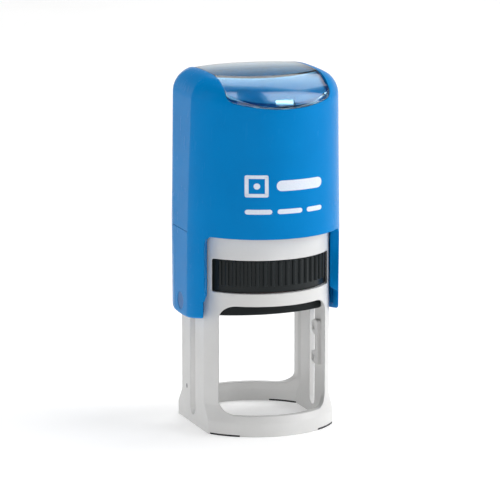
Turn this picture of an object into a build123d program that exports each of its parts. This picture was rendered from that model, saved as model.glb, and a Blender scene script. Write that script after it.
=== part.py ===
from build123d import *
import math
import os

os.makedirs("parts", exist_ok=True)

# A self-inking stamp: a cap with two arms slides down over a frame and turns the die over.
# Millimetres, +Z up, front towards -Y, origin in the middle of the underside.

# ---- Frame ----
FRAME_R = 17.1                  # front and back walls are arcs about the vertical axis
FRAME_HALF_W = 15.3             # outer faces of the two flat legs
FRAME_TOP = 48.0
WALL = 1.25
BASE_R = 18.45                  # base ring: a straight band with a flare above it
BASE_BAND = 3.1
FLARE_TOP = 6.6
WINDOW_HALF_W = 12.9            # tall opening that shows the paper
WINDOW_LOW, WINDOW_HIGH = 4.65, 30.05
WINDOW_CORNER = 3.2
WINDOW_BACK_HALF_W = 13.6       # the same opening in the back wall is a little wider
PAD_WINDOW_HALF_W = 14.0        # opening the cassette slides through
PAD_WINDOW_LOW, PAD_WINDOW_HIGH = 32.97, 40.7
DECK_LOW, DECK_HIGH = 41.2, 42.6
BOSS_R, BOSS_H = 4.3, 3.0       # centres the spring
SLOT_W = 3.4                    # slot in each leg for the pivot pin
SLOT_LOW, SLOT_HIGH = 2.1, 31.2
GUIDE_X = 13.2                  # face of the flip guides inside each leg
GUIDE_OUTLINE = ((-5.7, 12.8), (-5.7, 23.3), (-3.6, 23.3), (-1.9, 22.4), (-1.9, 20.4), (-4.6, 19.3),
                 (-4.6, 16.3), (-1.9, 15.4), (-1.9, 13.3), (-2.8, 12.8))
GUIDE_CORNER_R = 0.35
GUIDE_POCKETS = (((-2.4, 22.1), (-2.4, 20.6), (-4.0, 21.0), (-3.3, 22.4)),
                 ((-2.4, 13.5), (-2.4, 15.1), (-4.0, 14.6), (-3.2, 13.3)))
GUIDE_POCKET_D = 0.5
FOOT_H = 0.4
FOOT_ANGLES = (31.0, 54.0)      # from the front-to-back line

# ---- Cap ----
CAP_R = 18.5                    # front and back walls are arcs with their centres off the axis
CAP_SHIFT = 2.3
CAP_HALF_W = 18.3
SEAM_Z = 46.2
SEAM_T, SEAM_D = 0.16, 0.12     # groove across each flank
SEAM_HALF_D = 5.1
CAP_TOP = 82.4
CROWN_R = 120.0                 # front to back
CROWN_SIDE_R = 400.0            # side to side
SHOULDER_R = 5.6
DRAFT_R, DRAFT_W = 0.45, 0.75   # how much the arcs and flats draw in by the top
CAVITY_INSET = 1.4
CAVITY_STEP_Z = 74.3
CAVITY_TOP_HALF_D = 13.6
CAP_CEILING = 77.2

# ---- Index window and card ----
INDEX_HALF_W = 12.3
INDEX_LOW = 75.7
INDEX_SAG_R = 48.0
INDEX_CORNER = 1.8
INDEX_T = 1.3
CARD_T = 0.3
FIT_GAP = 0.1
SLOPE_R = 18.0                  # the window's front and back fall away along arcs
SLOPE_Y, SLOPE_Z = 6.7, 64.4    # centre of each arc, which is swept about an upright axis
SLOPE_AXIS_Y = -12.0
NOTCH_W, NOTCH_H, NOTCH_D = 4.4, 2.1, 1.9
NOTCH_LOW = 76.3

# ---- Arms of the cap ----
ARM_END = ((14.9, 9.0), (16.3, 11.0))       # slanted end face, from the frame's wall outwards
ARM_STEP_X = 16.38              # inner faces below the step
ARM_STEP_Z = (30.9, 32.1)
ARM_LOW = 25.95
ARM_DRAW = 0.15                 # the arms draw in by this much at their lower ends
ARM_CORNER_Z = 27.2
ARM_CORNER_R = 1.3
ARM_HALF_D = 11.1
ARM_EDGE_R = 0.6
CROTCH_R = 2.2                  # round corner where arm and cap edge meet
SLIDE_GAP = 0.35                # between the arms and the frame
LEG_POCKET_HALF_D = 6.9         # pocket inside each arm for the yoke's leg
LEG_POCKET_LOW = 27.2

# ---- Yoke ----
YOKE_INSET = 1.55
LEG_HALF_D = 6.8
LEG_LOW = 27.3
LEG_X = 15.7                    # inner faces of the legs
LEG_STEP_X = 16.2               # and below the step
BRIDGE_LOW, BRIDGE_HIGH = 75.4, 77.0
YOKE_HALF_D = 9.0
CUP_R_IN, CUP_R_OUT, CUP_H = 6.1, 7.2, 1.5

# ---- Pivot and die ----
AXLE_Z = 29.3
PIN_R = 1.2
PIN_FIT = 0.05
PIN_HEAD_R = 1.95
PIN_HEAD_T = 0.9
PIN_HEAD_GAP = 0.02
PIN_INNER_X = 9.6
PIN_OUTER_X = 18.2
CARRIER_HALF_W = 12.8
CARRIER_HALF_D = 12.5
CARRIER_ARC_R = 27.0
CARRIER_BACK, CARRIER_FRONT = -2.1, 1.9     # heights from the pivot
CUSHION_R, CUSHION_T = 11.9, 0.45
PLATE_R, PLATE_T = 12.0, 0.6
RELIEF_T = 0.5
RELIEF_BARS = ((3.6, 13.0), (0.0, 15.0), (-3.6, 13.0))

# ---- Pad ----
PAD_HALF_W = 13.8
PAD_R = 16.4
PAD_LOW, PAD_HIGH = 33.15, 40.5
RIB_R = 0.48
RIB_PITCH = 6.12                # degrees
RIB_COUNT = 17
RIB_LOW, RIB_HIGH = 34.65, 40.3
FELT_LOW, FELT_HIGH = 34.25, 39.2
FELT_R, FELT_HALF_W = 13.2, 12.6
TRAY_GAP = 0.1

# ---- Spring ----
SPRING_R = 5.3
WIRE_R = 0.45
SPRING_TURNS = 6
SPRING_END_GAP = 0.03


def arc_and_flat_outline(radius, shift, half_w):
    """Closed outline: a flat on each side, an arc at the front and back."""
    corner_y = shift + math.sqrt(radius**2 - half_w**2)
    with BuildLine() as outline:
        ThreePointArc((-half_w, -corner_y), (0, -shift - radius), (half_w, -corner_y))
        Line((half_w, -corner_y), (half_w, corner_y))
        ThreePointArc((half_w, corner_y), (0, shift + radius), (-half_w, corner_y))
        Line((-half_w, corner_y), (-half_w, -corner_y))
    make_face(outline.edges())


def frame_solid(profile, half_w):
    """Profile turned about the vertical axis and cut flat at the sides."""
    with BuildPart() as turned:
        with BuildSketch(Plane.XZ) as section:
            with BuildLine():
                Polyline(*profile, close=True)
            make_face()
            flare = [v for v in section.vertices() if BASE_BAND - 1 < v.Y < FLARE_TOP + 1]
            fillet(flare, 1.6)
        revolve(axis=Axis.Z)
        Box(2 * half_w, 80, 200, mode=Mode.INTERSECT)
    return turned.part


def shouldered_blank(inset):
    """Solid cap shape with a crowned top and round shoulders, set in from the outside."""
    with BuildPart() as blank:
        for z, draw_r, draw_w in ((SEAM_Z, 0, 0), (CAP_TOP + 1, DRAFT_R, DRAFT_W)):
            with BuildSketch(Plane.XY.offset(z)):
                arc_and_flat_outline(CAP_R - draw_r - inset, CAP_SHIFT,
                                     CAP_HALF_W - draw_w - inset)
        loft(ruled=True)
        with BuildSketch(Plane.YZ):
            with Locations((0, CAP_TOP - CROWN_R)):
                Circle(CROWN_R - inset)
            with Locations((0, CAP_TOP)):
                Rectangle(60, 2 * CAP_TOP - SEAM_Z, mode=Mode.INTERSECT)
        revolve(axis=Axis((0, 0, CAP_TOP - CROWN_SIDE_R), (0, 1, 0)), mode=Mode.INTERSECT)
        fillet(blank.faces().sort_by(Axis.Z)[-1].edges(), SHOULDER_R - inset)
    return blank.part


def sloped_blank(inset):
    """The same shape under the window, where its top has a crease and slopes down to each wall."""
    with BuildPart() as blank:
        add(shouldered_blank(inset))
        for side in (-1, 1):
            with BuildSketch(Plane.YZ):
                with Locations((side * (SLOPE_Y + 10), SLOPE_Z + 15)):
                    Rectangle(20, 20)
                with Locations((side * SLOPE_Y, SLOPE_Z)):
                    Circle(SLOPE_R - inset, mode=Mode.SUBTRACT)
            revolve(axis=Axis((0, side * SLOPE_AXIS_Y, 0), (0, 0, 1)), mode=Mode.SUBTRACT)
    return blank.part


def index_prism(margin):
    """The region the clear window covers, seen from the front, grown by a margin."""
    half = INDEX_HALF_W + margin
    low = INDEX_LOW - margin
    side_z = low + INDEX_SAG_R - math.sqrt(INDEX_SAG_R**2 - half**2)
    with BuildPart() as prism:
        with BuildSketch(Plane.XZ) as outline:
            with BuildLine():
                ThreePointArc((-half, side_z), (0, low), (half, side_z))
                Polyline((half, side_z), (half, 95), (-half, 95), (-half, side_z))
            make_face()
            fillet(outline.vertices().sort_by(Axis.Y)[:2], INDEX_CORNER + margin)
        extrude(amount=30, both=True)
    return prism.part


def finish(name, builder):
    builder.part.label = name
    export_step(builder.part, f"parts/{name}.step")


# ---- Non-slip feet, let into the underside of the base ring ----
feet = []
for name, sx, sy in (("foot_front_left", -1, -1), ("foot_front_right", 1, -1),
                     ("foot_back_left", -1, 1), ("foot_back_right", 1, 1)):
    rays = [(sx * 30 * math.sin(math.radians(a)), sy * 30 * math.cos(math.radians(a)))
            for a in FOOT_ANGLES]
    with BuildPart() as foot:
        with BuildSketch():
            Circle(BASE_R)
            Circle(BASE_R - WALL, mode=Mode.SUBTRACT)
            with BuildLine():
                Polyline((0, 0), *rays, close=True)
            make_face(mode=Mode.INTERSECT)
        extrude(amount=FOOT_H)
    finish(name, foot)
    feet.append(foot.part)

# ---- Frame: base ring, two legs, pad chamber and deck, one moulding ----
frame_outside = frame_solid(
    ((0, 0), (BASE_R, 0), (BASE_R, BASE_BAND), (FRAME_R, FLARE_TOP), (FRAME_R, FRAME_TOP),
     (0, FRAME_TOP)), FRAME_HALF_W)
frame_inside = frame_solid(
    ((0, -1), (BASE_R - WALL, -1), (BASE_R - WALL, BASE_BAND - 0.5),
     (FRAME_R - WALL, FLARE_TOP - 0.5), (FRAME_R - WALL, FRAME_TOP + 1), (0, FRAME_TOP + 1)),
    FRAME_HALF_W - WALL)

with BuildPart() as base_frame:
    add(frame_outside)
    add(frame_inside, mode=Mode.SUBTRACT)
    with BuildSketch(Plane.XZ):
        with Locations((0, (PAD_WINDOW_LOW + PAD_WINDOW_HIGH) / 2)):
            RectangleRounded(2 * PAD_WINDOW_HALF_W, PAD_WINDOW_HIGH - PAD_WINDOW_LOW, 0.4)
    extrude(amount=30, both=True, mode=Mode.SUBTRACT)
    for half_w, front in ((WINDOW_HALF_W, 1), (WINDOW_BACK_HALF_W, -1)):
        with BuildSketch(Plane.XZ):
            with Locations((0, (WINDOW_LOW + WINDOW_HIGH) / 2)):
                RectangleRounded(2 * half_w, WINDOW_HIGH - WINDOW_LOW, WINDOW_CORNER)
        extrude(amount=front * 30, mode=Mode.SUBTRACT)
    with BuildSketch(Plane.YZ):
        with Locations((0, (SLOT_LOW + SLOT_HIGH) / 2)):
            SlotOverall(SLOT_HIGH - SLOT_LOW, SLOT_W, rotation=90)
    extrude(amount=30, both=True, mode=Mode.SUBTRACT)
    with BuildSketch(Plane.XY.offset(DECK_LOW)):
        arc_and_flat_outline(FRAME_R - WALL / 2, 0, FRAME_HALF_W - WALL / 2)
    extrude(amount=DECK_HIGH - DECK_LOW)
    with BuildSketch(Plane.XY.offset(DECK_HIGH)):
        Circle(BOSS_R)
    extrude(amount=BOSS_H)
    for side in (-1, 1):
        with BuildSketch(Plane.YZ.offset(side * GUIDE_X)) as guide:
            with BuildLine():
                Polyline(*GUIDE_OUTLINE, close=True)
            make_face()
            fillet(guide.vertices(), GUIDE_CORNER_R)
        extrude(amount=side * (FRAME_HALF_W - WALL / 2 - GUIDE_X))
        with BuildSketch(Plane.YZ.offset(side * GUIDE_X)):
            for pocket in GUIDE_POCKETS:
                with BuildLine():
                    Polyline(*pocket, close=True)
                make_face()
        extrude(amount=side * GUIDE_POCKET_D, mode=Mode.SUBTRACT)
    for foot_part in feet:
        add(foot_part, mode=Mode.SUBTRACT)
finish("base_frame", base_frame)

# ---- Cap shell, with a pocket over the top for the index card and its window ----
cap_outside = shouldered_blank(0)
with BuildPart() as index_pocket:
    add(cap_outside)
    add(sloped_blank(INDEX_T + CARD_T + FIT_GAP), mode=Mode.SUBTRACT)
    add(index_prism(FIT_GAP), mode=Mode.INTERSECT)

(ARM_END_X_IN, ARM_END_Y_IN), (ARM_END_X_OUT, ARM_END_Y_OUT) = ARM_END
END_DX, END_DY = ARM_END_X_OUT - ARM_END_X_IN, ARM_END_Y_OUT - ARM_END_Y_IN
with BuildPart() as between_arms:
    for front in (-1, 1):
        with BuildSketch(Plane.XY.offset(ARM_LOW - 2)):
            with BuildLine():
                Polyline((-ARM_END_X_IN + END_DX, front * (ARM_END_Y_IN - END_DY)),
                         (-ARM_END_X_OUT - END_DX, front * (ARM_END_Y_OUT + END_DY)),
                         (-ARM_END_X_OUT - END_DX, front * 30), (ARM_END_X_OUT + END_DX, front * 30),
                         (ARM_END_X_OUT + END_DX, front * (ARM_END_Y_OUT + END_DY)),
                         (ARM_END_X_IN - END_DX, front * (ARM_END_Y_IN - END_DY)), close=True)
            make_face()
        extrude(amount=SEAM_Z - ARM_LOW + 2)
    ends = [e for e in between_arms.faces().sort_by(Axis.Z)[-2:].edges()
            if ARM_END_X_IN - END_DX < abs(e.center().X) < ARM_END_X_OUT + END_DX - 0.1]
    fillet(ends, CROTCH_R)

with BuildPart() as arms:
    for z, draw in ((SEAM_Z, 0), (ARM_LOW - 1, ARM_DRAW)):
        with BuildSketch(Plane.XY.offset(z)):
            arc_and_flat_outline(CAP_R - draw, CAP_SHIFT, CAP_HALF_W - draw / 3)
    loft(ruled=True)
    with BuildSketch(Plane.YZ) as arm_side:
        with BuildLine():
            ThreePointArc((-ARM_HALF_D, ARM_CORNER_Z), (0, ARM_LOW), (ARM_HALF_D, ARM_CORNER_Z))
            Polyline((ARM_HALF_D, ARM_CORNER_Z), (ARM_HALF_D, SEAM_Z - CROTCH_R), (30, SEAM_Z - CROTCH_R),
                     (30, SEAM_Z), (-30, SEAM_Z), (-30, SEAM_Z - CROTCH_R),
                     (-ARM_HALF_D, SEAM_Z - CROTCH_R), (-ARM_HALF_D, ARM_CORNER_Z))
        make_face()
        fillet(arm_side.vertices().sort_by(Axis.Y)[:2], ARM_CORNER_R)
    extrude(amount=30, both=True, mode=Mode.INTERSECT)
    add(between_arms.part, mode=Mode.SUBTRACT)
    with BuildSketch(Plane.XZ):
        with BuildLine():
            Polyline((-ARM_STEP_X, 20), (-ARM_STEP_X, ARM_STEP_Z[0]), (-ARM_END_X_IN, ARM_STEP_Z[1]),
                     (ARM_END_X_IN, ARM_STEP_Z[1]), (ARM_STEP_X, ARM_STEP_Z[0]), (ARM_STEP_X, 20),
                     close=True)
        make_face()
    extrude(amount=30, both=True, mode=Mode.SUBTRACT)
    with BuildSketch(Plane.XY.offset(SEAM_Z)):
        arc_and_flat_outline(FRAME_R + SLIDE_GAP, 0, FRAME_HALF_W + SLIDE_GAP)
    extrude(amount=-30, mode=Mode.SUBTRACT)
    fillet([e for e in arms.edges() if e.center().Z < ARM_CORNER_Z + 0.8
            and abs(e.center().X) > ARM_STEP_X + 0.3], ARM_EDGE_R)

with BuildPart() as cap_shell:
    add(cap_outside)
    with BuildSketch(Plane.XY.offset(SEAM_Z)):
        arc_and_flat_outline(CAP_R - CAVITY_INSET, CAP_SHIFT, CAP_HALF_W - CAVITY_INSET)
    extrude(amount=CAVITY_STEP_Z - SEAM_Z, mode=Mode.SUBTRACT)
    with BuildSketch(Plane.XY.offset(CAVITY_STEP_Z)):
        arc_and_flat_outline(CAP_R - CAVITY_INSET, CAP_SHIFT, CAP_HALF_W - CAVITY_INSET)
        Rectangle(60, 2 * CAVITY_TOP_HALF_D, mode=Mode.INTERSECT)
    extrude(amount=CAP_CEILING - CAVITY_STEP_Z, mode=Mode.SUBTRACT)
    add(index_pocket.part, mode=Mode.SUBTRACT)
    add(arms.part)
    with BuildSketch(Plane.XY.offset(LEG_POCKET_LOW)):
        Rectangle(2 * (CAP_HALF_W - CAVITY_INSET), 2 * LEG_POCKET_HALF_D)
    extrude(amount=SEAM_Z - LEG_POCKET_LOW, mode=Mode.SUBTRACT)
    with BuildSketch(Plane.YZ):
        with Locations((0, AXLE_Z)):
            Circle(PIN_R + PIN_HEAD_GAP)
    extrude(amount=30, both=True, mode=Mode.SUBTRACT)
    for side in (-1, 1):
        with BuildSketch(Plane.YZ.offset(side * (PIN_OUTER_X - PIN_HEAD_T - PIN_HEAD_GAP))):
            with Locations((0, AXLE_Z)):
                Circle(PIN_HEAD_R + PIN_HEAD_GAP)
        extrude(amount=side * 5, mode=Mode.SUBTRACT)
        with BuildSketch(Plane.YZ.offset(side * (CAP_HALF_W - SEAM_D))):
            with Locations((0, SEAM_Z)):
                Rectangle(2 * SEAM_HALF_D, SEAM_T)
        extrude(amount=side * 5, mode=Mode.SUBTRACT)
finish("cap_shell", cap_shell)

# ---- Clear index window, with a prising notch at the front and back ----
with BuildPart() as index_window:
    add(sloped_blank(0))
    add(sloped_blank(INDEX_T), mode=Mode.SUBTRACT)
    add(index_prism(0), mode=Mode.INTERSECT)
    for side in (-1, 1):
        with BuildSketch(Plane.XZ.offset(side * (CAP_SHIFT + CAP_R - NOTCH_D))):
            with Locations((0, NOTCH_LOW + NOTCH_H / 2)):
                Rectangle(NOTCH_W, NOTCH_H)
        extrude(amount=side * 3, mode=Mode.SUBTRACT)
finish("index_window", index_window)

# ---- Printed index card under the window ----
with BuildPart() as index_card:
    add(sloped_blank(INDEX_T + FIT_GAP / 2))
    add(sloped_blank(INDEX_T + FIT_GAP / 2 + CARD_T), mode=Mode.SUBTRACT)
    add(index_prism(-0.6), mode=Mode.INTERSECT)
finish("index_card", index_card)

# ---- Yoke: two legs inside the cap's arms, joined by a bridge that the spring pushes on ----
with BuildPart() as handle_yoke:
    with BuildSketch(Plane.XY.offset(LEG_LOW)):
        arc_and_flat_outline(CAP_R - YOKE_INSET, CAP_SHIFT, CAP_HALF_W - YOKE_INSET)
        Rectangle(60, 2 * LEG_HALF_D, mode=Mode.INTERSECT)
        Rectangle(2 * LEG_X, 60, mode=Mode.SUBTRACT)
    extrude(amount=BRIDGE_HIGH - LEG_LOW)
    with BuildSketch(Plane.XZ):
        for side in (-1, 1):
            with BuildLine():
                Polyline((side * (LEG_X - 1), 20), (side * LEG_STEP_X, 20),
                         (side * LEG_STEP_X, ARM_STEP_Z[0]), (side * LEG_X, ARM_STEP_Z[1]),
                         (side * (LEG_X - 1), ARM_STEP_Z[1]), close=True)
            make_face()
    extrude(amount=30, both=True, mode=Mode.SUBTRACT)
    with BuildSketch(Plane.XY.offset(BRIDGE_LOW)):
        arc_and_flat_outline(CAP_R - YOKE_INSET, CAP_SHIFT, CAP_HALF_W - YOKE_INSET)
        Rectangle(60, 2 * YOKE_HALF_D, mode=Mode.INTERSECT)
    extrude(amount=BRIDGE_HIGH - BRIDGE_LOW)
    with BuildSketch(Plane.XY.offset(BRIDGE_LOW - CUP_H)):
        Circle(CUP_R_OUT)
        Circle(CUP_R_IN, mode=Mode.SUBTRACT)
    extrude(amount=CUP_H)
    with BuildSketch(Plane.YZ):
        with Locations((0, AXLE_Z)):
            Circle(PIN_R + PIN_HEAD_GAP)
    extrude(amount=30, both=True, mode=Mode.SUBTRACT)
finish("handle_yoke", handle_yoke)

# ---- Pivot pins, pushed in from outside, heads just below the arm's face ----
for name, side in (("pivot_pin_left", -1), ("pivot_pin_right", 1)):
    with BuildPart() as pivot_pin:
        with BuildSketch(Plane.YZ.offset(side * PIN_INNER_X)):
            with Locations((0, AXLE_Z)):
                Circle(PIN_R)
        extrude(amount=side * (PIN_OUTER_X - PIN_INNER_X))
        with BuildSketch(Plane.YZ.offset(side * (PIN_OUTER_X - PIN_HEAD_T))):
            with Locations((0, AXLE_Z)):
                Circle(PIN_HEAD_R)
        extrude(amount=side * PIN_HEAD_T)
    finish(name, pivot_pin)

# ---- Die carrier: the plate that turns over between pad and paper ----
with BuildPart() as die_carrier:
    with BuildSketch(Plane.XY.offset(AXLE_Z + CARRIER_BACK)):
        arc_and_flat_outline(CARRIER_ARC_R, CARRIER_HALF_D - CARRIER_ARC_R, CARRIER_HALF_W)
    extrude(amount=CARRIER_FRONT - CARRIER_BACK)
    fillet(die_carrier.edges().filter_by(Axis.Z), 0.8)
    chamfer(die_carrier.faces().sort_by(Axis.Z)[0].edges(), 0.3)
    with BuildSketch(Plane.XY.offset(AXLE_Z + CARRIER_BACK)):
        RectangleRounded(17, 17, 1.5)
        Rectangle(17, 1.2, mode=Mode.SUBTRACT)
    extrude(amount=0.6, mode=Mode.SUBTRACT)
    for side in (-1, 1):
        with BuildSketch(Plane.YZ.offset(side * (PIN_INNER_X - 0.3))):
            with Locations((0, AXLE_Z)):
                Circle(PIN_R + PIN_FIT)
        extrude(amount=side * 10, mode=Mode.SUBTRACT)
finish("die_carrier", die_carrier)

# ---- Foam cushion and text plate on the carrier, facing the pad at rest ----
with BuildPart() as die_cushion:
    with BuildSketch(Plane.XY.offset(AXLE_Z + CARRIER_FRONT)):
        Circle(CUSHION_R)
    extrude(amount=CUSHION_T)
finish("die_cushion", die_cushion)

PLATE_LOW = AXLE_Z + CARRIER_FRONT + CUSHION_T
with BuildPart() as text_plate:
    with BuildSketch(Plane.XY.offset(PLATE_LOW)):
        Circle(PLATE_R)
    extrude(amount=PLATE_T)
    with BuildSketch(Plane.XY.offset(PLATE_LOW + PLATE_T)):
        Circle(PLATE_R - 0.2)
        Circle(PLATE_R - 0.9, mode=Mode.SUBTRACT)
        for y, length in RELIEF_BARS:
            with Locations((0, y)):
                Rectangle(length, 1.6)
        for side in (-1, 1):
            with Locations((0, side * 8.0)):
                RegularPolygon(1.2, 4)
    extrude(amount=RELIEF_T)
finish("text_plate", text_plate)

# ---- Pad cassette: a ribbed drawer open below, with its felt ----
with BuildPart() as pad_cassette:
    with BuildSketch(Plane.XY.offset(PAD_LOW)):
        arc_and_flat_outline(PAD_R, 0, PAD_HALF_W)
    extrude(amount=PAD_HIGH - PAD_LOW)
    with BuildSketch(Plane.XY.offset(RIB_LOW)):
        for front in (-90, 90):
            with PolarLocations(PAD_R, RIB_COUNT, front - RIB_PITCH * (RIB_COUNT - 1) / 2,
                                RIB_PITCH * (RIB_COUNT - 1), endpoint=True):
                Circle(RIB_R)
    extrude(amount=RIB_HIGH - RIB_LOW)
    with BuildSketch(Plane.XY.offset(PAD_LOW)):
        Circle(FELT_R + TRAY_GAP)
        Rectangle(2 * (FELT_HALF_W + TRAY_GAP), 60, mode=Mode.INTERSECT)
    extrude(amount=FELT_HIGH + TRAY_GAP - PAD_LOW, mode=Mode.SUBTRACT)
finish("pad_cassette", pad_cassette)

with BuildPart() as ink_felt:
    with BuildSketch(Plane.XY.offset(FELT_LOW)):
        Circle(FELT_R)
        Rectangle(2 * FELT_HALF_W, 60, mode=Mode.INTERSECT)
    extrude(amount=FELT_HIGH - FELT_LOW)
finish("ink_felt", ink_felt)

# ---- Return spring between the frame's deck and the yoke's bridge ----
spring_low = DECK_HIGH + WIRE_R + SPRING_END_GAP
spring_high = BRIDGE_LOW - WIRE_R - SPRING_END_GAP
with BuildPart() as return_spring:
    with BuildLine() as wire_path:
        Helix((spring_high - spring_low) / SPRING_TURNS, spring_high - spring_low, SPRING_R,
              center=(0, 0, spring_low))
    with BuildSketch(Plane(wire_path.line @ 0, z_dir=wire_path.line % 0)):
        Circle(WIRE_R)
    sweep()
finish("return_spring", return_spring)
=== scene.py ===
import math

import bmesh
import bpy
from mathutils import Euler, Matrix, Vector, noise
from mathutils.bvhtree import BVHTree


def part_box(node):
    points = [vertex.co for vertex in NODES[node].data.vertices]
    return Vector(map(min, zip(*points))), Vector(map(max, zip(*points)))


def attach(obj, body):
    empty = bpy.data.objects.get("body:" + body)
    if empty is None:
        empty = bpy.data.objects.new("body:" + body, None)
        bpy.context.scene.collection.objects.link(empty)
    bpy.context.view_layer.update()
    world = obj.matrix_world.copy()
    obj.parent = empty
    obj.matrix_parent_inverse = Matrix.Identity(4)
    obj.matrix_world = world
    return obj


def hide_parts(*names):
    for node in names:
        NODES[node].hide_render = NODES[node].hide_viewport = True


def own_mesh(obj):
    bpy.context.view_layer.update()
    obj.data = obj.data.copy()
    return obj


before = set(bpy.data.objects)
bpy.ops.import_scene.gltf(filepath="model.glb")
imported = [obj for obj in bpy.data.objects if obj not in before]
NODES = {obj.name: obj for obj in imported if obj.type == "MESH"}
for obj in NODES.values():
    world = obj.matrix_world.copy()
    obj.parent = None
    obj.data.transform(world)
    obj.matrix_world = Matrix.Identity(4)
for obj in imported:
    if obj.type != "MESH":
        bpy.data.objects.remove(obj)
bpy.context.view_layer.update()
scene = bpy.context.scene
MM = 0.001                      # metres in a millimetre

CAMERA_PLACE = (-0.27853, -0.76171, 0.20405)
CAMERA_TILT = 78.549            # degrees from straight down
CAMERA_TURN = -20.0             # degrees about the upright axis
FOCAL_MM, SENSOR_MM = 258.8, 36.0

WIRE_R = 0.45 * MM              # return spring
TURNS, CLOSED_TURNS = 6.5, 1.0  # all turns, and the closed turns at each end
COIL_STEPS = 520
COIL_SMOOTHING = 10             # passes over the path, to round the change of pitch
CLOSED_PITCH = 1.02             # closed turns are this many wire diameters apart

MARK_DROP = 31.2                # the printed mark's origin, below the top of the cap, in millimetres
GATE_PLACE = (4.2, 8.0)         # gate marks on the legs' outsides, y and z, in millimetres
GATE_SIZE = (0.42, 0.55)
RAY_START = 0.05                # metres out from the wall, where a ray towards it starts
FLOOR_REACH = 4.0

# --------------------------------------------------------------------------- camera
camera_data = bpy.data.cameras.new("camera")
camera_data.sensor_width = SENSOR_MM
camera_data.lens = FOCAL_MM
camera_data.clip_start = 0.01
camera_data.clip_end = 50.0
camera = bpy.data.objects.new("camera", camera_data)
camera.location = CAMERA_PLACE
camera.rotation_euler = Euler((math.radians(CAMERA_TILT), 0.0, math.radians(CAMERA_TURN)))
scene.collection.objects.link(camera)
scene.camera = camera
scene.view_settings.view_transform = "Standard"
scene.view_settings.look = "None"


# --------------------------------------------------------------------------- node helpers
class Nodes:
    """A material's node tree with short calls. Coordinates are the object's own, in millimetres."""

    def __init__(self, name):
        self.material = bpy.data.materials.new(name)
        self.material.use_nodes = True
        self.tree = self.material.node_tree
        self.tree.nodes.clear()
        self.out = self.new("ShaderNodeOutputMaterial")
        self.coords = None

    def new(self, kind, **settings):
        node = self.tree.nodes.new(kind)
        for key, value in settings.items():
            setattr(node, key, value)
        return node

    def put(self, socket, value):
        if isinstance(value, bpy.types.NodeSocket):
            self.tree.links.new(value, socket)
        elif value is not None:
            socket.default_value = value

    def mm(self):
        """Object coordinates in millimetres."""
        if self.coords is None:
            tex = self.new("ShaderNodeTexCoord")
            scale = self.new("ShaderNodeVectorMath", operation="SCALE")
            scale.inputs["Scale"].default_value = 1000.0
            self.put(scale.inputs[0], tex.outputs["Object"])
            self.coords = scale.outputs[0]
        return self.coords

    def stretched(self, factors):
        node = self.new("ShaderNodeVectorMath", operation="MULTIPLY")
        self.put(node.inputs[0], self.mm())
        node.inputs[1].default_value = factors
        return node.outputs[0]

    def noise(self, scale, detail=3.0, rough=0.5, distortion=0.0, vector=None):
        node = self.new("ShaderNodeTexNoise")
        self.put(node.inputs["Vector"], vector or self.mm())
        node.inputs["Scale"].default_value = scale
        node.inputs["Detail"].default_value = detail
        node.inputs["Roughness"].default_value = rough
        node.inputs["Distortion"].default_value = distortion
        return node.outputs["Fac"]

    def voronoi(self, scale):
        node = self.new("ShaderNodeTexVoronoi")
        self.put(node.inputs["Vector"], self.mm())
        node.inputs["Scale"].default_value = scale
        return node.outputs["Distance"]

    def remap(self, value, a, b, c=0.0, d=1.0):
        node = self.new("ShaderNodeMapRange")
        self.put(node.inputs["Value"], value)
        for name, number in (("From Min", a), ("From Max", b), ("To Min", c), ("To Max", d)):
            node.inputs[name].default_value = number
        return node.outputs["Result"]

    def math(self, operation, a, b=None, clamp=False):
        node = self.new("ShaderNodeMath", operation=operation, use_clamp=clamp)
        self.put(node.inputs[0], a)
        if b is not None:
            self.put(node.inputs[1], b)
        return node.outputs[0]

    def mix(self, factor, a, b):
        node = self.new("ShaderNodeMix", data_type="RGBA")
        self.put(node.inputs["Factor"], factor)
        self.put(node.inputs["A"], a)
        self.put(node.inputs["B"], b)
        return node.outputs["Result"]

    def tone(self, value, dark, light):
        """A colour between two tones, by a noise value near 0.5."""
        return self.mix(self.remap(value, 0.3, 0.7), (*dark, 1.0), (*light, 1.0))

    def edge(self, radius_mm):
        """(rounded normal, mask that is 1 on sharp edges)."""
        bevel = self.new("ShaderNodeBevel", samples=6)
        bevel.inputs["Radius"].default_value = radius_mm * MM
        geometry = self.new("ShaderNodeNewGeometry")
        dot = self.new("ShaderNodeVectorMath", operation="DOT_PRODUCT")
        self.put(dot.inputs[0], bevel.outputs["Normal"])
        self.put(dot.inputs[1], geometry.outputs["Normal"])
        return bevel.outputs["Normal"], self.remap(dot.outputs["Value"], 0.995, 0.85)

    def bump(self, height, strength, distance_mm, normal=None):
        node = self.new("ShaderNodeBump")
        node.inputs["Strength"].default_value = strength
        node.inputs["Distance"].default_value = distance_mm * MM
        self.put(node.inputs["Height"], height)
        if normal is not None:
            self.put(node.inputs["Normal"], normal)
        return node.outputs["Normal"]

    def shade(self, **values):
        bsdf = self.new("ShaderNodeBsdfPrincipled")
        for key, value in values.items():
            self.put(bsdf.inputs[key.replace("_", " ")], value)
        self.put(self.out.inputs["Surface"], bsdf.outputs["BSDF"])
        return self.material


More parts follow.
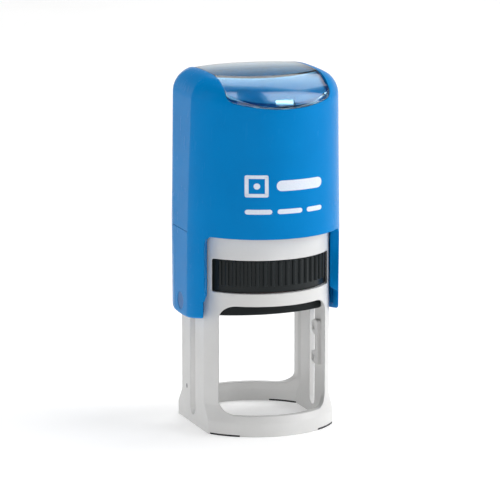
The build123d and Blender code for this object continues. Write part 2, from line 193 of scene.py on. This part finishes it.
def moulded(name, dark, light, gloss, grain, grain_depth, edge_mm, edge_tint, specular,
            scratches=0.04):
    """Injection-moulded plastic: slow colour drift, moulded grain, rubbing marks, worn edges."""
    n = Nodes(name)
    rounded, edges = n.edge(edge_mm)
    drift = n.noise(0.11, 2.0, 0.45)
    speck = n.noise(1.7, 3.0, 0.6)
    colour = n.tone(n.math("ADD", n.math("MULTIPLY", drift, 0.75), n.math("MULTIPLY", speck, 0.25)),
                    dark, light)
    worn = n.math("MULTIPLY", edges, n.remap(n.noise(0.9, 3.0, 0.6), 0.42, 0.7), clamp=True)
    colour = n.mix(worn, colour, (*edge_tint, 1.0))
    rubbed = n.remap(n.noise(0.9, 4.0, 0.65, 0.4, n.stretched((1.0, 1.0, 0.12))), 0.52, 0.75, 0.0, 1.0)
    rough = n.math("ADD", n.remap(n.noise(0.35, 3.0, 0.55), 0.3, 0.7, gloss * 0.88, gloss * 1.12),
                   n.math("ADD", n.math("MULTIPLY", rubbed, scratches), n.math("MULTIPLY", worn, 0.10)),
                   clamp=True)
    normal = n.bump(n.noise(grain, 2.0, 0.5), 0.35, grain_depth, rounded)
    return n.shade(Base_Color=colour, Roughness=rough, Normal=normal, Specular_IOR_Level=specular)


# --------------------------------------------------------------------------- materials
CAP_BLUE = moulded("cap_blue", (0.000, 0.208, 0.560), (0.000, 0.230, 0.605), 0.24, 2.2, 0.004, 0.30,
                   (0.010, 0.280, 0.680), specular=0.045, scratches=0.05)
PIN_BLUE = moulded("pin_blue", (0.000, 0.120, 0.370), (0.001, 0.150, 0.430), 0.34, 3.0, 0.006, 0.12,
                   (0.010, 0.200, 0.500), specular=0.15)
FRAME_GREY = moulded("frame_grey", (0.690, 0.688, 0.680), (0.735, 0.733, 0.725), 0.42, 3.4, 0.010, 0.35,
                     (0.79, 0.79, 0.78), specular=0.30)
PAD_BLACK = moulded("pad_black", (0.0065, 0.0100, 0.0110), (0.0090, 0.0135, 0.0150), 0.34, 3.8, 0.008, 0.14,
                    (0.026, 0.035, 0.038), specular=0.24, scratches=0.08)
CARRIER_BLACK = moulded("carrier_black", (0.005, 0.008, 0.009), (0.008, 0.011, 0.012), 0.40, 3.8, 0.010, 0.14,
                        (0.020, 0.026, 0.028), specular=0.16, scratches=0.10)


# Near-black feet under the base's corners: partly rubber pads, partly painted shade, their darkness standing
# in for the shadow in the gap under the base.
def foot_rubber():
    n = Nodes("foot_rubber")
    rounded, edges = n.edge(0.15)
    colour = n.tone(n.noise(1.3, 3.0), (0.014, 0.015, 0.017), (0.030, 0.031, 0.034))
    colour = n.mix(n.math("MULTIPLY", edges, 0.35), colour, (0.075, 0.075, 0.08, 1.0))
    rough = n.remap(n.noise(2.1, 3.0), 0.3, 0.7, 0.72, 0.88)
    return n.shade(Base_Color=colour, Roughness=rough,
                   Normal=n.bump(n.noise(5.0, 3.0), 0.5, 0.03, rounded))


def plate_rubber():
    """Moulded printing rubber, stained by ink on its raised marks."""
    n = Nodes("plate_rubber")
    rounded, edges = n.edge(0.12)
    colour = n.tone(n.noise(0.9, 4.0, 0.6), (0.36, 0.075, 0.055), (0.48, 0.11, 0.08))
    stain = n.remap(n.noise(0.55, 5.0, 0.65, 0.6), 0.40, 0.62)
    colour = n.mix(n.math("MULTIPLY", stain, 0.55), colour, (0.035, 0.03, 0.06, 1.0))
    colour = n.mix(n.math("MULTIPLY", edges, 0.6), colour, (0.03, 0.03, 0.07, 1.0))
    rough = n.remap(stain, 0.0, 1.0, 0.62, 0.38)
    return n.shade(Base_Color=colour, Roughness=rough,
                   Normal=n.bump(n.noise(6.0, 3.0), 0.4, 0.02, rounded))


def clear_plastic():
    """Clear polystyrene, with a trace of blue and faint rubbing."""
    n = Nodes("clear_plastic")
    rounded, _ = n.edge(0.18)
    rough = n.remap(n.noise(0.7, 4.0, 0.6, 0.5, n.stretched((1.0, 0.3, 1.0))), 0.45, 0.8, 0.08, 0.14)
    colour = n.tone(n.noise(0.2, 2.0), (0.42, 0.80, 0.97), (0.48, 0.83, 0.98))
    return n.shade(Base_Color=colour, Roughness=rough,
                   Normal=n.bump(n.noise(0.35, 2.0), 0.10, 0.01, rounded),
                   Transmission_Weight=1.0, IOR=1.46)


def card_print():
    """Coated card printed in deep teal, with paper tooth."""
    n = Nodes("card_print")
    fibres = n.noise(3.0, 5.0, 0.7, 0.5, n.stretched((0.5, 1.6, 1.6)))
    colour = n.tone(n.math("ADD", n.math("MULTIPLY", fibres, 0.5), n.math("MULTIPLY", n.noise(0.15), 0.5)),
                    (0.000, 0.340, 0.700), (0.001, 0.380, 0.760))
    return n.shade(Base_Color=colour, Roughness=n.remap(fibres, 0.3, 0.7, 0.5, 0.66),
                   Normal=n.bump(fibres, 0.3, 0.02), Specular_IOR_Level=0.35)


def spring_wire():
    """Drawn spring wire: fine lines along the wire, a little darker in patches."""
    n = Nodes("spring_wire")
    lines = n.noise(5.5, 3.0, 0.6, 0.0, n.stretched((1.0, 1.0, 6.0)))
    colour = n.tone(n.noise(0.6, 3.0), (0.46, 0.46, 0.47), (0.62, 0.62, 0.63))
    return n.shade(Base_Color=colour, Roughness=n.remap(lines, 0.3, 0.7, 0.20, 0.36), Metallic=1.0,
                   Normal=n.bump(lines, 0.25, 0.01))


def felt_ink():
    """Wool felt soaked with blue-black ink: matted fibres and clumps."""
    n = Nodes("felt_ink")
    fibres = n.noise(4.5, 6.0, 0.75, 1.2)
    clumps = n.noise(0.8, 4.0, 0.6, 0.8)
    colour = n.tone(n.math("ADD", n.math("MULTIPLY", fibres, 0.6), n.math("MULTIPLY", clumps, 0.4)),
                    (0.010, 0.012, 0.045), (0.034, 0.040, 0.110))
    return n.shade(Base_Color=colour, Roughness=n.remap(clumps, 0.3, 0.7, 0.62, 0.92), Sheen_Weight=0.25,
                   Sheen_Roughness=0.5, Normal=n.bump(fibres, 0.9, 0.12))


def foam_sheet():
    """Closed-cell foam backing, off white."""
    n = Nodes("foam_sheet")
    cells = n.voronoi(4.5)
    colour = n.tone(n.noise(1.2, 3.0), (0.55, 0.54, 0.50), (0.66, 0.65, 0.61))
    return n.shade(Base_Color=colour, Roughness=n.remap(cells, 0.0, 0.6, 0.75, 0.95),
                   Normal=n.bump(cells, 0.5, 0.05), Subsurface_Weight=0.05, Subsurface_Scale=0.001)


def print_white():
    """Pad-printed white ink: thin, a little uneven."""
    n = Nodes("print_white")
    cover = n.noise(3.2, 4.0, 0.65)
    colour = n.tone(cover, (0.70, 0.76, 0.88), (0.80, 0.86, 0.96))
    return n.shade(Base_Color=colour, Roughness=n.remap(n.noise(1.4, 3.0), 0.3, 0.7, 0.34, 0.46),
                   Normal=n.bump(cover, 0.2, 0.01), Specular_IOR_Level=0.4)


def gate_mark():
    """A broken-off moulding gate: rough, a shade darker than the wall."""
    n = Nodes("gate_mark")
    grain = n.noise(3.5, 4.0, 0.7)
    colour = n.tone(grain, (0.22, 0.22, 0.23), (0.36, 0.36, 0.37))
    return n.shade(Base_Color=colour, Roughness=n.remap(grain, 0.3, 0.7, 0.55, 0.75),
                   Normal=n.bump(grain, 0.6, 0.05))


MATERIALS = {
    "base_frame": FRAME_GREY, "cap_shell": CAP_BLUE, "handle_yoke": CAP_BLUE,
    "pivot_pin_left": PIN_BLUE, "pivot_pin_right": PIN_BLUE, "pad_cassette": PAD_BLACK,
    "die_carrier": CARRIER_BLACK, "text_plate": plate_rubber(), "index_window": clear_plastic(),
    "index_card": card_print(),
}
# All four feet get the near-black look, which is partly painted shade of the gap under the base.
foot_and_shade_look = foot_rubber()
for corner in ("foot_front_left", "foot_front_right", "foot_back_left", "foot_back_right"):
    MATERIALS[corner] = foot_and_shade_look
for node_name, look in MATERIALS.items():
    node = NODES[node_name]
    node.data.materials.clear()
    node.data.materials.append(look)


# --------------------------------------------------------------------------- mesh helpers
def mesh_object(name, vertices, faces, look, smooth=True):
    data = bpy.data.meshes.new(name)
    data.from_pydata([tuple(v) for v in vertices], [], faces)
    data.validate()
    data.update()
    bm = bmesh.new()
    bm.from_mesh(data)
    bmesh.ops.recalc_face_normals(bm, faces=bm.faces)
    bm.to_mesh(data)
    bm.free()
    for polygon in data.polygons:
        polygon.use_smooth = smooth
    data.materials.append(look)
    piece = bpy.data.objects.new(name, data)
    scene.collection.objects.link(piece)
    return piece


def tube(name, path, radius, look, sides=14):
    """A closed tube of round wire that follows a path of points."""
    vertices, faces = [], []
    count = len(path)
    for i, point in enumerate(path):
        ahead = path[min(i + 1, count - 1)] - path[max(i - 1, 0)]
        ahead.normalize()
        across = ahead.cross(Vector((0, 0, 1))).normalized()
        up = across.cross(ahead).normalized()
        for k in range(sides):
            angle = 2 * math.pi * k / sides
            vertices.append(point + radius * (math.cos(angle) * across + math.sin(angle) * up))
    for i in range(count - 1):
        for k in range(sides):
            a, b = i * sides + k, i * sides + (k + 1) % sides
            faces.append((a, b, b + sides, a + sides))
    faces.append(tuple(reversed(range(sides))))
    faces.append(tuple(range((count - 1) * sides, count * sides)))
    return mesh_object(name, vertices, faces, look)


def padded_disc(name, low, high, half_width, look, crown, edge_r, fuzz=0.0, spokes=144):
    """A stuffed disc with flats cut at its sides: rounded rim, faces that swell towards the middle."""
    centre = (low + high) / 2
    radius, half_thick = (high.y - low.y) / 2, (high.z - low.z) / 2
    insets = [edge_r * (1 - math.cos(math.radians(a))) for a in (18, 36, 54, 72, 90)]
    steps = 22
    vertices, rows = [], []

    def ring(face, inset, share):
        row = []
        for k in range(spokes):
            angle = 2 * math.pi * k / spokes
            reach = radius
            if abs(math.cos(angle)) > 1e-6:
                reach = min(reach, half_width / abs(math.cos(angle)))
            at = reach - inset if share is None else (reach - edge_r) * share
            part = at / reach
            rim = 1.0
            if reach - at < edge_r:
                rim = math.sqrt(max(0.0, 1 - (1 - (reach - at) / edge_r) ** 2))
            half = (half_thick - crown) * rim + crown * (1 - part**2)
            spot = Vector((centre.x + at * math.cos(angle), centre.y + at * math.sin(angle), 0))
            if fuzz and share is not None:
                half -= fuzz * (0.5 + 0.5 * noise.noise(spot * 1400 + Vector((0, 0, 7 * face))))
            row.append(len(vertices))
            vertices.append((spot.x, spot.y, centre.z + face * half))
        rows.append(row)

    for i in range(1, steps):
        ring(-1, 0, i / steps)
    for inset in reversed(insets):
        ring(-1, inset, None)
    ring(0, 0.0, None)
    for inset in insets:
        ring(1, inset, None)
    for i in reversed(range(1, steps)):
        ring(1, 0, i / steps)
    faces = []
    for a, b in zip(rows, rows[1:]):
        for k in range(spokes):
            nxt = (k + 1) % spokes
            faces.append((a[k], a[nxt], b[nxt], b[k]))
    for face, row in ((-1, rows[0]), (1, rows[-1])):
        middle = len(vertices)
        vertices.append((centre.x, centre.y, centre.z + face * half_thick))
        for k in range(spokes):
            faces.append((row[k], row[(k + 1) % spokes], middle))
    return mesh_object(name, vertices, faces, look)


def surface_of(node_name):
    """Ray caster for a CAD node at rest."""
    data = NODES[node_name].data
    return BVHTree.FromPolygons([v.co.copy() for v in data.vertices],
                                [tuple(p.vertices) for p in data.polygons])


def laid_on(name, tree, grid, start, direction, look, proud, sunk):
    """A thin layer with the shape of grid, rows of points, laid on a curved wall along direction."""
    vertices, faces = [], []
    wide, tall = len(grid[0]), len(grid)
    for lift in (proud, -sunk):
        for row in grid:
            for point in row:
                hit, normal, _, _ = tree.ray_cast(start(point), direction)
                if normal.dot(direction) > 0:
                    normal = -normal
                vertices.append(hit + normal * lift)
    back = wide * tall

    def at(i, j):
        return i * wide + j

    for i in range(tall - 1):
        for j in range(wide - 1):
            quad = (at(i, j), at(i, j + 1), at(i + 1, j + 1), at(i + 1, j))
            faces.append(quad)
            faces.append(tuple(back + q for q in reversed(quad)))
    border = [at(0, j) for j in range(wide)] + [at(i, wide - 1) for i in range(1, tall)]
    border += [at(tall - 1, j) for j in reversed(range(wide - 1))]
    border += [at(i, 0) for i in reversed(range(1, tall - 1))]
    for a, b in zip(border, border[1:] + border[:1]):
        faces.append((b, a, back + a, back + b))
    return mesh_object(name, vertices, faces, look, smooth=False)


def bar_grid(x0, x1, z0, z1, corner, columns=36, rows=9):
    """Rows of points that fill a bar with round corners. Millimetres."""
    grid = []
    for i in range(rows):
        z = z0 + (z1 - z0) * (0.5 - 0.5 * math.cos(math.pi * i / (rows - 1)))
        edge = min(z - z0, z1 - z)
        cut = 0.0
        if edge < corner:
            cut = corner - math.sqrt(max(0.0, corner**2 - (corner - edge) ** 2))
        grid.append([(x0 + cut + (x1 - x0 - 2 * cut) * j / (columns - 1), z) for j in range(columns)])
    return grid


# --------------------------------------------------------------------------- return spring
low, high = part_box("return_spring")
coil_r = (high.x - low.x) / 2 - WIRE_R
bottom, top = low.z + WIRE_R, high.z - WIRE_R
closed_pitch = 2 * WIRE_R * CLOSED_PITCH
open_pitch = (top - bottom - 2 * CLOSED_TURNS * closed_pitch) / (TURNS - 2 * CLOSED_TURNS)
path = []
for i in range(COIL_STEPS + 1):
    turn = TURNS * i / COIL_STEPS
    if turn < CLOSED_TURNS:
        z = bottom + closed_pitch * turn
    elif turn < TURNS - CLOSED_TURNS:
        z = bottom + closed_pitch * CLOSED_TURNS + open_pitch * (turn - CLOSED_TURNS)
    else:
        z = top - closed_pitch * (TURNS - turn)
    angle = 2 * math.pi * turn
    path.append(Vector((coil_r * math.cos(angle), coil_r * math.sin(angle), z)))
for _ in range(COIL_SMOOTHING):
    path = [path[0]] + [
        Vector((p.x, p.y, (a.z + 2 * p.z + b.z) / 4)) for a, p, b in zip(path, path[1:], path[2:])
    ] + [path[-1]]
spring = tube("spring_coil", path, WIRE_R, spring_wire())
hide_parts("return_spring")
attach(spring, "frame")
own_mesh(spring)

# --------------------------------------------------------------------------- felt and foam
low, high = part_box("ink_felt")
felt = padded_disc("felt_pad", low, high, (high.x - low.x) / 2, felt_ink(),
                   crown=0.25 * MM, edge_r=0.7 * MM, fuzz=0.05 * MM)
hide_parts("ink_felt")
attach(felt, "pad")

low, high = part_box("die_cushion")
foam = padded_disc("foam_backing", low, high, (high.x - low.x) / 2, foam_sheet(),
                   crown=0.01 * MM, edge_r=0.2 * MM)
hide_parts("die_cushion")
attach(foam, "die")

# --------------------------------------------------------------------------- printed mark on the cap
cap_low, cap_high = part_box("cap_shell")
cap_tree = surface_of("cap_shell")
white = print_white()
mark_z = cap_high.z / MM - MARK_DROP
bars = {    # left, right, low, high, corner radius
    "mark_bar_long": (-2.4, 9.2, mark_z + 6.2, mark_z + 8.6, 1.2),
    "mark_dash_a": (-9.2, -3.4, mark_z + 1.0, mark_z + 2.1, 0.55),
    "mark_dash_b": (-2.2, 3.8, mark_z + 1.0, mark_z + 2.1, 0.55),
    "mark_dash_c": (5.0, 9.2, mark_z + 1.0, mark_z + 2.1, 0.55),
    "mark_square_top": (-9.2, -4.2, mark_z + 9.1, mark_z + 9.9, 0.4),
    "mark_square_low": (-9.2, -4.2, mark_z + 4.9, mark_z + 5.7, 0.4),
    "mark_square_left": (-9.2, -8.4, mark_z + 5.3, mark_z + 9.5, 0.1),
    "mark_square_right": (-5.0, -4.2, mark_z + 5.3, mark_z + 9.5, 0.1),
    "mark_square_dot": (-7.4, -6.0, mark_z + 6.7, mark_z + 8.1, 0.69),
}
for name, (x0, x1, z0, z1, corner) in bars.items():
    grid = bar_grid(x0, x1, z0, z1, corner)
    piece = laid_on(name, cap_tree, grid,
                    lambda p: Vector((p[0] * MM, cap_low.y - RAY_START, p[1] * MM)),
                    Vector((0, 1, 0)), white, 0.018 * MM, 0.02 * MM)
    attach(piece, "cap")

# --------------------------------------------------------------------------- gate marks on the legs
leg_tree = surface_of("base_frame")
gate = gate_mark()
for name, side in (("gate_mark_left", -1), ("gate_mark_right", 1)):
    grid = [[(GATE_PLACE[0] + GATE_SIZE[0] * r * math.cos(a), GATE_PLACE[1] + GATE_SIZE[1] * r * math.sin(a))
             for a in [2 * math.pi * k / 24 for k in range(25)]] for r in (0.02, 0.5, 1.0)]
    piece = laid_on(name, leg_tree, grid, lambda p: Vector((side * RAY_START, p[0] * MM, p[1] * MM)),
                    Vector((-side, 0, 0)), gate, 0.03 * MM, 0.02 * MM)
    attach(piece, "frame")

# --------------------------------------------------------------------------- floor, world and lights
floor_look = Nodes("floor")
drift = floor_look.noise(0.02, 3.0)
floor_look.shade(Base_Color=floor_look.tone(drift, (0.86, 0.86, 0.86), (0.90, 0.90, 0.90)),
                 Roughness=floor_look.remap(drift, 0.3, 0.7, 0.8, 0.9), Specular_IOR_Level=0.1,
                 Emission_Color=(1.0, 1.0, 1.0, 1.0), Emission_Strength=0.28)
corners = [(x * FLOOR_REACH, y * FLOOR_REACH, 0) for x, y in ((-1, -1), (1, -1), (1, 1), (-1, 1))]
floor = mesh_object("floor", corners, [(0, 1, 2, 3)], floor_look.material, smooth=False)

world = bpy.data.worlds.new("studio")
world.use_nodes = True
tree = world.node_tree
tree.nodes.clear()
where = tree.nodes.new("ShaderNodeTexCoord")
parts = tree.nodes.new("ShaderNodeSeparateXYZ")
tree.links.new(where.outputs["Generated"], parts.inputs[0])


def world_ramp(source, a, b, c, d):
    node = tree.nodes.new("ShaderNodeMapRange")
    node.interpolation_type = "SMOOTHSTEP"
    tree.links.new(source, node.inputs["Value"])
    for name, number in (("From Min", a), ("From Max", b), ("To Min", c), ("To Max", d)):
        node.inputs[name].default_value = number
    return node.outputs["Result"]


def world_math(operation, a, b):
    node = tree.nodes.new("ShaderNodeMath")
    node.operation = operation
    for socket, value in zip(node.inputs, (a, b)):
        if isinstance(value, bpy.types.NodeSocket):
            tree.links.new(value, socket)
        else:
            socket.default_value = value
    return node.outputs[0]


behind = world_ramp(parts.outputs["Y"], -0.2, 0.6, 0.20, 1.0)
low_down = world_ramp(parts.outputs["Z"], 0.00, 0.38, 0.98, 0.08)
strength = world_math("MULTIPLY", behind, low_down)
background = tree.nodes.new("ShaderNodeBackground")
background.inputs["Color"].default_value = (1.0, 1.0, 1.0, 1.0)
tree.links.new(world_math("ADD", strength, 0.04), background.inputs["Strength"])
world_out = tree.nodes.new("ShaderNodeOutputWorld")
tree.links.new(background.outputs[0], world_out.inputs["Surface"])
scene.world = world


def softbox(name, location, target, width, height, power):
    data = bpy.data.lights.new(name, "AREA")
    data.shape = "RECTANGLE"
    data.size, data.size_y = width, height
    data.energy = power
    lamp = bpy.data.objects.new(name, data)
    lamp.location = location
    lamp.rotation_euler = (Vector(target) - Vector(location)).to_track_quat("-Z", "Y").to_euler()
    scene.collection.objects.link(lamp)


softbox("key", (1.02, -0.62, 0.46), (0, 0, 0.04), 0.80, 0.80, 9.2)
softbox("fill", (-0.60, -0.88, 0.30), (0, 0, 0.04), 0.60, 0.50, 1.7)
softbox("side", (-1.05, 0.25, 0.45), (0, 0, 0.04), 0.60, 0.70, 1.4)
softbox("behind", (0.40, 0.70, 0.97), (0, 0, 0.08), 0.80, 0.72, 3.9)
softbox("overhead", (0.66, 0.00, 1.10), (0, 0, 0.08), 0.40, 0.90, 5.0)
softbox("top", (-0.28, 0.10, 1.25), (0, 0, 0.04), 0.55, 0.60, 4.6)
